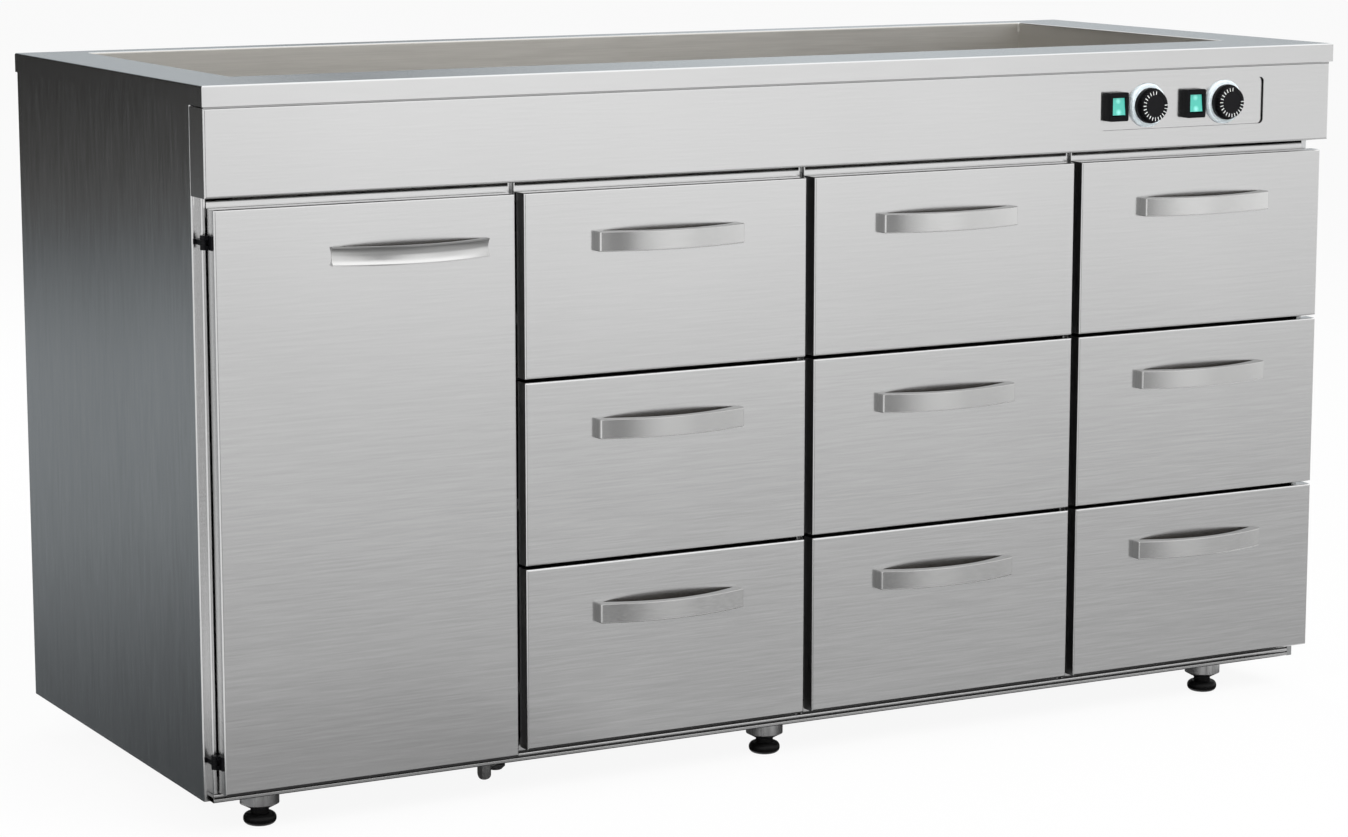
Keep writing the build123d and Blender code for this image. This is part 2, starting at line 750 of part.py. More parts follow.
def box_span(column, row):
    z = drawer_span(column, row)[1]
    top = min(z[1] - BOX_TOP_DROP, WELL_BOTTOM - BOX_WELL_GAP)
    x = shrink(bay(column), RUNNER_DEPTH + RUNNER_SIDE_GAP)
    return x, (FRONT_REAR, BACK_PANEL_INNER - BOX_BACK_GAP), (z[0] + BOX_FLOOR_LIFT, top)


def runner_level(column, row):
    return box_span(column, row)[2][0] + RUNNER_ABOVE_BOX


def drawer_box(column, row):
    """An open tray with a rail along each side."""
    x, y, z = box_span(column, row)
    box = block(x, y, z)
    box -= block(shrink(x, BOX_SHEET), shrink(y, BOX_SHEET), (z[0] + BOX_SHEET, z[1]))
    level = runner_level(column, row)
    reach = RUNNER_DEPTH + RUNNER_SIDE_GAP - RUNNER_SHEET - RUNNER_CLEARANCE
    along = (STILE_REAR + RUNNER_FRONT_SETBACK, y[1])
    height = (level, level + RAIL_THICK)
    box += block((x[0] - reach, x[0]), along, height)
    box += block((x[1], x[1] + reach), along, height)
    return box


def runner_span(column, row):
    """A runner's length, and the height that its drawer's rail slides in."""
    y = (STILE_REAR + RUNNER_FRONT_SETBACK, BACK_PANEL_INNER - RUNNER_BACK_GAP)
    level = runner_level(column, row)
    return y, (level - RUNNER_CLEARANCE, level + RAIL_THICK + RUNNER_CLEARANCE)


def runner(wall, inward, column, row):
    """A channel on a bay wall, open towards the drawer."""
    y, room = runner_span(column, row)
    outside = sorted((wall, wall + inward * RUNNER_DEPTH))
    inside = sorted((wall + inward * RUNNER_SHEET, wall + inward * RUNNER_DEPTH))
    return block(outside, y, shrink(room, -RUNNER_SHEET)) - block(inside, y, room)


def spacer(column, row):
    """A packing strip that brings a runner level with the right side panel's flange."""
    y, room = runner_span(column, row)
    return block((bay(column)[1], SIDE_INNER), y, shrink(room, -RUNNER_SHEET))


def drawer_runners():
    runners = []
    columns = range(len(PARTITION_XS))
    for row in range(ROWS):
        for column in columns:
            left, right = bay(column)
            runners.append(runner(left, 1, column, row))
            runners.append(runner(right, -1, column, row))
        runners.append(spacer(columns[-1], row))
    return runners


# Feet

def foot_points():
    ends = (LEFT + FOOT_INSET_LEFT, RIGHT - FOOT_INSET_RIGHT)
    xs = [ends[0], middle(ends), ends[1]]
    ys = {"front": FRONT + FOOT_INSET_FRONT, "back": BACK - FOOT_INSET_BACK}
    return {(side, name): (x, y) for side, y in ys.items() for name, x in zip(COLUMN_NAMES, xs)}


def foot_sockets():
    top = BASE_FLOOR - SHEET
    bore = FOOT_STEM_R + FOOT_CLEARANCE
    outline = [
        (bore, FOOT_HEIGHT),
        (SOCKET_NOSE_R, FOOT_HEIGHT),
        (SOCKET_R, FOOT_HEIGHT + SOCKET_TAPER),
        (SOCKET_R, BODY_BOTTOM - SOCKET_FLARE),
        (SOCKET_R + SOCKET_FLARE, BODY_BOTTOM),
        (SOCKET_R, BODY_BOTTOM),
        (SOCKET_R, top),
        (bore, top),
    ]
    return [Pos(x, y, 0) * turned(outline) for x, y in foot_points().values()]


def foot(side, name):
    """A threaded stem on a bun-shaped pad."""
    top = FOOT_HEIGHT + FOOT_STEM_LENGTH
    body = turned([
        (0, 0),
        (FOOT_PAD_R, 0),
        (FOOT_PAD_R, FOOT_PAD),
        (FOOT_NECK_R, FOOT_PAD),
        (FOOT_NECK_R, FOOT_HEIGHT),
        (FOOT_STEM_R, FOOT_HEIGHT),
        (FOOT_STEM_R, top),
        (0, top),
    ])
    rims = body.edges().filter_by(GeomType.CIRCLE).sort_by(SortBy.RADIUS)[-2:]
    return Pos(*foot_points()[(side, name)], 0) * fillet(rims, FOOT_PAD_ROUND)


# Drain

def valve_point():
    return PARTITION_XS[0] - HALF_STILE - VALVE_FROM_PARTITION, FRONT + VALVE_SETBACK


def valve_levels():
    """Heights of the valve's shoulder, the end of its neck and the end of its outlet."""
    shoulder = BODY_BOTTOM - VALVE_CLEARANCE
    return shoulder, shoulder - VALVE_NECK, shoulder - VALVE_NECK - OUTLET_HEIGHT


def strainer():
    """A holed disc in the well's drain, level with its floor."""
    disc = Pos(*drain_point(), WELL_BOTTOM) * extrude(Circle(STRAINER_R - STRAINER_CLEARANCE), TOP_SHEET)
    hole = drill(STRAINER_HOLE_R, TOP_SHEET)
    holes = [hole] + [place * hole for place in PolarLocations(STRAINER_CIRCLE_R, STRAINER_HOLES)]
    return disc - [Pos(*drain_point(), WELL_BOTTOM) * hole for hole in holes]


def down_pipe():
    """The pipe from its flange under the well, jogged sideways to the valve in the base."""
    top = drain_point()
    low = valve_point()
    flange_bottom = WELL_BOTTOM - DRAIN_FLANGE_THICK
    path = FilletPolyline(
        (*top, flange_bottom),
        (*top, BASE_FLOOR + PIPE_JOG_TOP),
        (*low, BASE_FLOOR + PIPE_JOG_BOTTOM),
        (*low, BASE_FLOOR - SHEET),
        radius=PIPE_BEND,
    )
    bore = PIPE_R - PIPE_WALL
    section = Plane((*top, flange_bottom), z_dir=(0, 0, -1)) * (Circle(PIPE_R) - Circle(bore))
    collar = Circle(DRAIN_FLANGE_R) - Circle(bore)
    return sweep(section, path=path) + Pos(*top, flange_bottom) * extrude(collar, DRAIN_FLANGE_THICK)


def drain_pipe():
    shoulder, neck, end = valve_levels()
    floor = BASE_FLOOR - SHEET
    valve = turned([
        (0, neck),
        (VALVE_NECK_R, neck),
        (VALVE_NECK_R, shoulder),
        (VALVE_R, shoulder),
        (VALVE_R, floor),
        (0, floor),
    ])
    outlet = turned([
        (0, neck),
        (0, end + OUTLET_BORE),
        (OUTLET_BORE_R, end + OUTLET_BORE),
        (OUTLET_BORE_R, end),
        (VALVE_R - OUTLET_BEVEL, end),
        (VALVE_R, end + OUTLET_BEVEL),
        (VALVE_R, neck),
    ])
    seat = Pos(*valve_point(), 0)
    return [down_pipe(), seat * valve, seat * outlet, strainer()]


def drain_lever():
    """A strip with an eye round the valve's neck and a creased finger tab bent down at its end."""
    shoulder, neck, _ = valve_levels()
    lie = (shoulder + neck) / 2
    top = lie + LEVER_THICK / 2
    half = LEVER_WIDTH / 2
    corner = LEVER_REACH - LEVER_CREASE
    end = [(corner, -half), (LEVER_REACH, 0), (corner, half)]
    inside = [(x - LEVER_THICK, y) for x, y in reversed(end)]
    strip = make_face(Polyline((0, -half), *end, (0, half), close=True))
    tab = make_face(Polyline(*end, *inside, close=True))
    outline = Rectangle(LEVER_WIDTH, LEVER_TAB)
    outline = fillet(outline.vertices().sort_by(Axis.Y)[:2], LEVER_CORNER)
    outline = Plane.YZ * Pos(0, top - LEVER_TAB / 2) * outline
    lever = Pos(0, 0, top) * extrude(tab, -LEVER_TAB) & extrude(outline, LEVER_REACH)
    lever += Pos(0, 0, top) * extrude(strip, -LEVER_THICK)
    lever += Pos(0, 0, lie) * Cylinder(LEVER_EYE_R, LEVER_THICK)
    lever -= Pos(0, 0, lie) * Cylinder(VALVE_NECK_R + PIN_CLEARANCE, LEVER_THICK)
    return Pos(*valve_point(), 0) * Rot(0, 0, LEVER_ANGLE) * lever


# Mains entry

def terminal_x():
    return SIDE_INNER - TERMINAL_FROM_RIGHT


def terminal_top():
    return WELL_BOTTOM - TERMINAL_BELOW_WELL


def gland_z():
    return terminal_top() - TERMINAL_HEIGHT / 2


def mains_entry():
    """A terminal box inside the back, its cable gland outside, and the loom to the thermostats."""
    x = terminal_x()
    top = terminal_top()
    y = (BACK_PANEL_INNER - TERMINAL_DEPTH, BACK_PANEL_INNER)
    terminal = block((x - TERMINAL_WIDTH / 2, x + TERMINAL_WIDTH / 2), y, (top - TERMINAL_HEIGHT, top))
    gland = turned([
        (GLAND_BORE_R, 0),
        (GLAND_R, 0),
        (GLAND_R, SHEET),
        (GLAND_NUT_R, SHEET),
        (GLAND_NUT_R, SHEET + GLAND_NUT),
        (GLAND_R, SHEET + GLAND_NUT),
        (GLAND_R - SHEET, GLAND_REACH),
        (GLAND_BORE_R, GLAND_REACH),
    ])
    gland = Pos(x, BACK_PANEL_INNER, gland_z()) * Rot(-90, 0, 0) * gland
    return [terminal, gland, loom(x, middle(y), top)]


def loom(x, y, top):
    end_y = PLATE_FACE + SHEET + THERMOSTAT_DEPTH
    turn_y = end_y + LOOM_SETBACK
    level = control_z()
    path = FilletPolyline(
        (x, y, top),
        (x, y, level),
        (x, turn_y, level),
        (knob_x(1), turn_y, level),
        (knob_x(1), end_y, level),
        radius=LOOM_BEND,
    )
    return sweep(Plane((x, y, top)) * Circle(LOOM_R), path=path)


def nodes():
    """Every sub-part by name, with the solids that make it up."""
    parts = {
        "worktop": [worktop()],
        "well_tank": well_tank(),
        "left_end_panel": [left_end_panel()],
        "right_side_panel": [right_side_panel()],
        "back_panel": [back_panel()],
        "base_panel": base_panel(),
        "partitions": partitions(),
        "front_rails": front_rails(),
        "control_fascia": [control_fascia()],
        "control_plate": [control_plate()],
        "control_gear": control_gear(),
        "dial_rings": dial_rings(),
        "heating_mats": heating_mats(),
        "drawer_runners": drawer_runners(),
        "foot_sockets": foot_sockets(),
        "hinge_brackets": hinge_brackets(),
        "drain_pipe": drain_pipe(),
        "mains_entry": mains_entry(),
        "door_skin": [door_skin()],
        "door_liner": [door_liner()],
        "door_handle": [door_handle()],
        "door_hinges": door_hinges(),
        "drain_lever": [drain_lever()],
    }
    for index, side in enumerate(("left", "right")):
        parts[f"knob_{side}"] = [knob(index)]
        parts[f"rocker_{side}"] = [rocker(index)]
    for side, name in foot_points():
        parts[f"foot_{side}_{name}"] = [foot(side, name)]
    bow = drawer_handle()
    for column, column_name in enumerate(COLUMN_NAMES):
        for row, row_name in enumerate(ROW_NAMES):
            x, z = drawer_span(column, row)
            name = f"drawer_{column_name}_{row_name}"
            parts[f"{name}_front"] = [pan(x, z)]
            parts[f"{name}_handle"] = [handle_on(bow, middle(x), z[1], HANDLE_HEIGHT)]
            parts[f"{name}_box"] = [drawer_box(column, row)]
    return parts


def main():
    os.makedirs("parts", exist_ok=True)
    for name, pieces in nodes().items():
        solids = [solid for piece in pieces for solid in piece.solids()]
        export_step(Compound(label=name, children=solids), f"parts/{name}.step")


if __name__ == "__main__":
    main()
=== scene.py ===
import json
import math

import bmesh
import bpy
from mathutils import Matrix, Vector


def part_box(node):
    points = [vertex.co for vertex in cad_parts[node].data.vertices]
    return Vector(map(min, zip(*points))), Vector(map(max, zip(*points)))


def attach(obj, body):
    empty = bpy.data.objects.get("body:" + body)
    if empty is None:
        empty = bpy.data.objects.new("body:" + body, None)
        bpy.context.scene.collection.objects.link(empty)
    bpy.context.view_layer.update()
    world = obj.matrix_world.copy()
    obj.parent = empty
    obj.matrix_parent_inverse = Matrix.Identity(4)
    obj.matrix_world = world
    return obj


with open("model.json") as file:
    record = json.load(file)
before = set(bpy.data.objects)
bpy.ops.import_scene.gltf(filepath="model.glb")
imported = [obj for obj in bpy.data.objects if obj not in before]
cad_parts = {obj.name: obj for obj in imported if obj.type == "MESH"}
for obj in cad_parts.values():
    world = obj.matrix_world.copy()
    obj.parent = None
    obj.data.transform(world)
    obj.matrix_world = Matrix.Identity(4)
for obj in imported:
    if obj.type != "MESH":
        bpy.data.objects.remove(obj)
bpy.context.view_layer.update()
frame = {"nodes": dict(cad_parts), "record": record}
nodes = frame["nodes"]

# Bain marie counter: the looks of every surface, in metres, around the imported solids.

SIDES = ("left", "right")

# Camera, at the photograph's viewing angle
PHOTO_WIDTH = 1348
FOCAL_PIXELS = 3602
SENSOR_WIDTH = 36
CAMERA_PLACE = (-2.2700, -4.1071, 1.1772)
CAMERA_ELEVATION = math.radians(9.49)
CAMERA_AZIMUTH = math.radians(28.653)

# Steel colours, each a little off neutral as its panel shows
FRONT_COLOUR = (0.72, 0.72, 0.72)
TOP_COLOUR = (0.68, 0.70, 0.71)
SIDE_COLOUR = (0.62, 0.63, 0.635)
WELL_COLOUR = (0.62, 0.605, 0.575)
HANDLE_COLOUR = (0.72, 0.72, 0.715)
# The handles' backs are near-black steel: painted shade for the gap behind each handle
HANDLE_BACK_PAINTED_SHADE = (0.15, 0.135, 0.12)
BOX_COLOUR = (0.66, 0.665, 0.665)
RUNNER_COLOUR = (0.56, 0.57, 0.58)

# Brushed grain: lines per metre across it and along it, their height, and the clouds over them
GRAIN_ACROSS = 520
SIDE_GRAIN_ACROSS = 220
GRAIN_ALONG = 14
GRAIN_HEIGHT = 0.00003
GRAIN_BUMP = 0.12
CLOUDS_PER_METRE = 3

# Moulded plastic: texture per metre, its height, and how far the roughness varies with it
MOULD_GRAIN = 900
MOULD_HEIGHT = 0.00002
MOULD_BUMP = 0.3
MOULD_SPREAD = 0.06

# Door handle's scoop: the share of the height where its painted shade starts, and how dark the painted
# shade gets
SCOOP_SHADE_START = 0.5
SCOOP_SHADE = 0.4

# Rocker lens: its colours and its lamp's glow, and two painted highlights that glow above and below
# the middle
LENS_COLOUR = (0.02, 0.16, 0.13, 1)
LENS_GLOW = (0.08, 0.50, 0.41)
LENS_PAINTED_HIGHLIGHT = (0.40, 1.0, 0.90)
LENS_STRENGTH = 0.8
LENS_HIGHLIGHT_OFFSET = 0.0074
LENS_HIGHLIGHT_CORE = 0.001
LENS_HIGHLIGHT_EDGE = 0.005

# How far a face's normal leans along an axis before the face counts as turned that way
SQUARE = 0.9
END_ON = 0.8
FACING = 0.7
FORWARD = 0.5
LEANING = 0.3
UNDERCUT = 0.2

# Tick scale on the knobs
TICKS = 19
TICK_START = math.radians(87)
TICK_SWEEP = math.radians(275.5)
TICK_INNER = 0.0146
TICK_OUTER = 0.0192
TICK_WIDTH = 0.0009
TICK_RAISED = 0.0002

# Strips that close the joint above the fascia and the end of the base's folded edge; the joint's strip
# is darker steel, painted shade
STRIP_THICKNESS = 0.0006
STRIP_EASING = 0.0001
SEAM_SETBACK = 0.0008
SEAM_HEIGHT = 0.0030
SEAM_RISE = 0.0012
BASE_EDGE_DEPTH = 0.012

# Floor, world and lamps: each lamp's place, size and power
FLOOR_HALF = 30.0
FLOOR_COLOUR = (0.9, 0.9, 0.9, 1)
FLOOR_GLOW = 0.92
AMBIENT = 0.45
WHITE = (1, 1, 1, 1)
LAMP_TARGET = (0, 0, 0.5)
LAMPS = {
    "key": ((1.2, -3.4, 3.6), (3.0, 2.0), 160),
    "fill": ((-3.5, -2.0, 3.0), (2.0, 2.0), 50),
    "back": ((0.5, 3.5, 3.2), (3.0, 2.0), 70),
}

# Tints of the cards that the steel reflects
COOL = (0.94, 1.0, 1.04)
WARM = (1.03, 1.0, 0.96)
NEUTRAL = (1.0, 1.0, 1.0)

# Cards in front: walls round a deep floor, which go down from the floor's height so that all the
# fronts see them in nearly the same directions. Stops are (distance along an axis, brightness).
FAR_CORNERS = [(-45, -30), (24, -30), (33, -18), (33, 14)]
FAR_DEPTH = -12
FAR_HEIGHTS = [
    (-12.0, 0.40), (-10.5, 0.36), (-9.3, 0.34), (-8.2, 0.385), (-6.9, 0.485), (-5.7, 0.56),
    (-4.9, 0.69), (-3.9, 0.83), (-2.8, 1.08), (-2.2, 1.16), (-1.4, 1.12), (0.0, 1.10),
]
FAR_ACROSS = [
    (-45, 1.1), (-17, 1.1), (-11, 0.62), (-6, 0.45), (-2, 0.43), (3, 0.65), (7, 0.88),
    (10, 0.97), (17, 1.03), (20, 1.04), (24, 0.985),
]
DEEP_FLOOR_ACROSS = (-45, 33)
DEEP_FLOOR = [(-30, 0.40), (-22, 0.58), (-0.4, 0.58)]
FRONT_WALL_PLACE = -12
FRONT_WALL = [(-12, 0.88), (1.5, 0.88), (5.0, 1.12), (7.5, 1.0), (9.5, 0.82), (16, 0.78)]
DARK_SCREEN = [(-1.9, -7.5), (0.1, -7.5)]
DARK_SCREEN_LEVEL = 0.15

# Cards at the left, behind and overhead
LEFT_FLOOR_ACROSS = (-12, -0.81)
LEFT_FLOOR = [
    (-0.4, 0.06), (0.1, 0.09), (0.5, 0.13), (1.0, 0.19), (1.55, 0.25), (2.3, 0.28),
    (3.2, 0.295), (3.6, 0.28), (4.5, 0.21), (5.8, 0.105),
]
FAR_FLOOR = [(5.8, 0.105), (7.8, 0.065), (9.9, 0.05), (12.0, 0.035)]
LEFT_CORNERS = [(-12, 1.5), (-12, 12), (0.6, 12)]
LEFT_WALL_LEVEL = 0.03
BACK_WALL_PLACE = 8.5
BACK_WALL = [
    (-1.0, 0.45), (2.0, 0.45), (2.65, 0.46), (3.2, 0.29), (4.0, 0.45), (5.2, 0.6), (7.2, 0.5),
    (12.0, 0.4),
]
WALL_HEIGHT = 9
SCREEN_HEIGHT = 5
OVERHEAD = ((-3, 5), (-4, 3))
OVERHEAD_HEIGHT = 4
OVERHEAD_LEVEL = 1.35

# Flat patches on the floor, each one lift above the last: corners and brightness
CARD_LIFT = 0.004
PATCHES = {
    # The dark patches, under the cabinet and at the door's corner, are painted shadows on the floor
    # that only reflections see
    "under_floor_painted_shadow": ([(-0.8, -0.4), (0.8, -0.4), (0.8, 0.4), (-0.8, 0.4)], 0.04),
    "bright_corner": (
        [(-11.5, 7), (-1.2, 0), (-0.9, -1.0), (-3.4, -4.7), (-6.5, -8), (-11.5, -8)], 0.9,
    ),
    "door_corner_painted_shadow": ([(-0.9, -0.4), (-0.2, -0.4), (-0.2, -1.0), (-0.9, -1.0)], 0.34),
}


# Materials

def new_material(name):
    material = bpy.data.materials.new(name)
    material.use_nodes = True
    tree = material.node_tree
    return material, tree, tree.nodes["Principled BSDF"]


def add_node(tree, kind, values=None, links=None, **settings):
    """A node with its settings, socket values and incoming links."""
    made = tree.nodes.new("ShaderNode" + kind)
    for key, value in settings.items():
        setattr(made, key, value)
    for key, value in (values or {}).items():
        made.inputs[key].default_value = value
    for key, socket in (links or {}).items():
        tree.links.new(socket, made.inputs[key])
    return made


def object_place(tree):
    """The place on the piece, in its own coordinates."""
    return add_node(tree, "TexCoord").outputs["Object"]


def noise(tree, scale, detail=3.0):
    """Noise over the piece's own coordinates, with a scale for each axis."""
    mapping = add_node(tree, "Mapping", {"Scale": scale}, {"Vector": object_place(tree)})
    values = {"Scale": 1.0, "Detail": detail, "Roughness": 0.6}
    texture = add_node(tree, "TexNoise", values, {"Vector": mapping.outputs["Vector"]})
    return texture.outputs["Fac"]


def remap(tree, socket, low, high, start=0.3, end=0.7):
    """A value that runs from low to high while the socket runs from start to end."""
    values = {"From Min": start, "From Max": end, "To Min": low, "To Max": high}
    return add_node(tree, "MapRange", values, {"Value": socket}).outputs["Result"]


def larger(tree, first, second):
    return add_node(tree, "Math", links={0: first, 1: second}, operation="MAXIMUM").outputs[0]


def blend_colours(tree, factor, first, second):
    """A blend of two colours, each a fixed one or a socket."""
    mix = add_node(tree, "Mix", data_type="RGBA")
    for socket, value in ((mix.inputs[6], first), (mix.inputs[7], second)):
        if isinstance(value, bpy.types.NodeSocket):
            tree.links.new(value, socket)
        else:
            socket.default_value = (*value, 1)
    tree.links.new(factor, mix.inputs[0])
    return mix.outputs[2]


def shade(colour, by):
    """A surface's colour made darker or lighter, up to white."""
    return tuple(min(1.0, channel * by) for channel in colour)


def mottled(tree, texture, colour, contrast):
    """A colour that goes a little darker and lighter with a texture."""
    factor = remap(tree, texture, 0, 1)
    return blend_colours(tree, factor, shade(colour, 1 - contrast), shade(colour, 1 + contrast))


def raise_texture(tree, shader, texture, strength, height):
    bump = add_node(tree, "Bump", {"Strength": strength, "Distance": height}, {"Height": texture})
    tree.links.new(bump.outputs["Normal"], shader.inputs["Normal"])


def grain_scale(axis, across):
    """Noise scale for lines that run along X, Y or Z."""
    return tuple(GRAIN_ALONG if name == axis else across for name in "XYZ")


def brushed_steel(
    name, colour, roughness, axis, anisotropy=0.5, tangent="Z", turn=0.25,
    contrast=0.03, spread=0.04, across=GRAIN_ACROSS,
):
    """Steel with fine lines along an axis, in its colour, roughness and height, and faint clouds."""
    material, tree, shader = new_material(name)
    lines = noise(tree, grain_scale(axis, across))
    clouds = noise(tree, (CLOUDS_PER_METRE,) * 3, 2.0)
    mixed = add_node(tree, "Mix", data_type="RGBA")
    mixed.inputs[0].default_value = 0.5
    tree.links.new(mottled(tree, lines, colour, contrast), mixed.inputs[6])
    tree.links.new(mottled(tree, clouds, colour, contrast / 2), mixed.inputs[7])
    tree.links.new(mixed.outputs[2], shader.inputs["Base Color"])
    rough = remap(tree, lines, roughness - spread, roughness + spread)
    tree.links.new(rough, shader.inputs["Roughness"])
    raise_texture(tree, shader, lines, GRAIN_BUMP, GRAIN_HEIGHT)
    shader.inputs["Metallic"].default_value = 1.0
    shader.inputs["Anisotropic"].default_value = anisotropy
    shader.inputs["Anisotropic Rotation"].default_value = turn
    along = add_node(tree, "Tangent", direction_type="RADIAL", axis=tangent)
    tree.links.new(along.outputs["Tangent"], shader.inputs["Tangent"])
    return material


def moulded_plastic(
    name, colour, roughness, grain=MOULD_GRAIN, height=MOULD_HEIGHT, specular=0.5, contrast=0.15,
):
    """Plastic with a fine moulded texture."""
    material, tree, shader = new_material(name)
    texture = noise(tree, (grain,) * 3, 2.0)
    tree.links.new(mottled(tree, texture, colour, contrast), shader.inputs["Base Color"])
    rough = remap(tree, texture, roughness - MOULD_SPREAD, roughness + MOULD_SPREAD)
    tree.links.new(rough, shader.inputs["Roughness"])
    raise_texture(tree, shader, texture, MOULD_BUMP, height)
    shader.inputs["Specular IOR Level"].default_value = specular
    return material


def scoop_with_painted_shade():
    """The door handle's steel, darker along the overhung upper edge of its scoop: painted shade."""
    material = brushed_steel("scoop_painted_shade_steel", HANDLE_COLOUR, 0.34, "X", anisotropy=0.0)
    tree = material.node_tree
    base = tree.nodes["Principled BSDF"].inputs["Base Color"]
    low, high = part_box("door_handle")
    split = add_node(tree, "SeparateXYZ", links={"Vector": object_place(tree)})
    shade_start = low.z + SCOOP_SHADE_START * (high.z - low.z)
    upper = remap(tree, split.outputs["Z"], 0, 1, shade_start, high.z)
    plain = base.links[0].from_socket
    tree.links.new(blend_colours(tree, upper, plain, shade(HANDLE_COLOUR, SCOOP_SHADE)), base)
    return material


def lit_lens(name, centre):
    """A green rocker lens, lit by its lamp, with two painted highlights glowing above and below its
    middle.
    """
    material, tree, shader = new_material(name)
    shader.inputs["Base Color"].default_value = LENS_COLOUR
    shader.inputs["Roughness"].default_value = 0.25
    shader.inputs["Coat Weight"].default_value = 0.6
    shader.inputs["Emission Strength"].default_value = LENS_STRENGTH
    spots = []
    for offset in (-LENS_HIGHLIGHT_OFFSET, LENS_HIGHLIGHT_OFFSET):
        away = add_node(tree, "VectorMath", links={0: object_place(tree)}, operation="DISTANCE")
        away.inputs[1].default_value = (centre.x, centre.y, centre.z + offset)
        spots.append(remap(tree, away.outputs["Value"], 1, 0, LENS_HIGHLIGHT_CORE, LENS_HIGHLIGHT_EDGE))
    glow = blend_colours(tree, larger(tree, *spots), LENS_GLOW, LENS_PAINTED_HIGHLIGHT)
    tree.links.new(glow, shader.inputs["Emission Color"])
    return material


STEELS = {
    "front_steel": dict(
        colour=FRONT_COLOUR, roughness=0.2, axis="X", anisotropy=0.4, contrast=0.075, spread=0.02,
    ),
    "carcass_steel": dict(
        colour=SIDE_COLOUR, roughness=0.2, axis="Z", anisotropy=0.4, turn=0.0, contrast=0.14,
        across=SIDE_GRAIN_ACROSS,
    ),
    "well_steel": dict(colour=WELL_COLOUR, roughness=0.36, axis="X", contrast=0.1),
    "polished_steel": dict(colour=HANDLE_COLOUR, roughness=0.22, axis="X", anisotropy=0.3),
    "box_steel": dict(colour=BOX_COLOUR, roughness=0.36, axis="Y", tangent="X", turn=0.0),
    "runner_steel": dict(
        colour=RUNNER_COLOUR, roughness=0.42, axis="Y", anisotropy=0.2, tangent="X", turn=0.0,
    ),
    "top_steel": dict(colour=TOP_COLOUR, roughness=0.2, axis="X", anisotropy=0.4, tangent="Y"),
    "band_steel": dict(colour=FRONT_COLOUR, roughness=0.2, axis="X", anisotropy=0.4, contrast=0.07),
    # Painted shade: near-black steel on the partitions' front faces, seen in the gaps between the
    # fronts
    "frame_steel": dict(colour=shade(SIDE_COLOUR, 0.16), roughness=0.4, axis="Z", turn=0.0),
    # Painted shade: dark steel on the drawer fronts' side returns and the base panel's upper faces
    "return_steel": dict(colour=shade(FRONT_COLOUR, 0.26), roughness=0.3, axis="Z", turn=0.0),
    # The well's end walls: grain across, and a little darker steel as painted shade
    "well_end_steel": dict(colour=shade(WELL_COLOUR, 0.97), roughness=0.36, axis="Y", tangent="X"),
    # Painted shade: darker steel on the drawer handles' upper edges
    "handle_top_steel": dict(
        colour=shade(HANDLE_COLOUR, 0.55), roughness=0.3, axis="X", anisotropy=0.0,
    ),
    # Painted light: lighter steel on the drawer handles' lower edges, against the dark floor they
    # reflect
    "handle_foot_steel": dict(
        colour=shade(HANDLE_COLOUR, 1.35), roughness=0.3, axis="X", anisotropy=0.0,
    ),
    # Painted shade: darker steel on the drawer handles' ends
    "handle_end_steel": dict(
        colour=shade(HANDLE_COLOUR, 0.5), roughness=0.3, axis="Z", anisotropy=0.0,
    ),
    # Painted shade: dark steel on the handles' backs
    "handle_back_steel": dict(colour=HANDLE_BACK_PAINTED_SHADE, roughness=0.55, axis="X", anisotropy=0.0),
    # Painted shade: darker steel in the joint above the fascia
    "seam_steel": dict(colour=shade(FRONT_COLOUR, 0.72), roughness=0.35, axis="X", anisotropy=0.0),
    # Painted light: lighter steel on the foot sockets
    "socket_steel": dict(colour=shade(FRONT_COLOUR, 1.2), roughness=0.3, axis="Z", anisotropy=0.0),
}
PLASTICS = {
    "black_plastic": dict(colour=(0.004, 0.004, 0.005), roughness=0.38, specular=0.12),
    "knob_plastic": dict(colour=(0.006, 0.006, 0.007), roughness=0.4, specular=0.14),
    "foot_plastic": dict(colour=(0.005, 0.005, 0.005), roughness=0.4, specular=0.2),
    "pale_plastic": dict(colour=(0.80, 0.89, 0.93), roughness=0.28, grain=300, contrast=0.03),
    "mat_silicone": dict(colour=(0.42, 0.10, 0.04), roughness=0.6, grain=400, height=0.0001),
    "drain_fitting": dict(colour=(0.03, 0.03, 0.032), roughness=0.4),
    "tick_paint": dict(colour=(0.80, 0.82, 0.82), roughness=0.5, grain=2000, contrast=0.05),
}
finishes = {name: brushed_steel(name, **settings) for name, settings in STEELS.items()}
finishes.update({name: moulded_plastic(name, **settings) for name, settings in PLASTICS.items()})


# The finish of each CAD node and of its faces

def give(node, material):
    """Puts one material on every face of a CAD node."""
    mesh = nodes[node].data
    mesh.materials.clear()
    mesh.materials.append(material)


def give_faces(node, finish, chosen):
    """Puts another finish on the chosen faces."""
    mesh = nodes[node].data
    mesh.materials.append(finishes[finish])
    for face in mesh.polygons:
        if chosen(face):
            face.material_index = len(mesh.materials) - 1


def in_well(face):
    low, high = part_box("well_tank")
    return low.x < face.center.x < high.x and low.y < face.center.y < high.y


def dress_nodes():
    """Every CAD node gets the finish of its slot, apart from a few that show another."""
    for part in frame["record"]["subparts"]:
        slot = part["material_slot"]
        if slot in finishes:
            give(part["node"], finishes[slot])
    for side in SIDES:
        node = f"rocker_{side}"
        low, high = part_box(node)
        face = Vector(((low.x + high.x) / 2, low.y, (low.z + high.z) / 2))
        give(node, lit_lens(f"green_lens_{side}", face))
    for node in ("front_rails", "base_panel", "control_plate"):
        give(node, finishes["front_steel"])
    # The foot sockets get lighter steel: painted light
    give("foot_sockets", finishes["socket_steel"])
    give("door_handle", scoop_with_painted_shade())


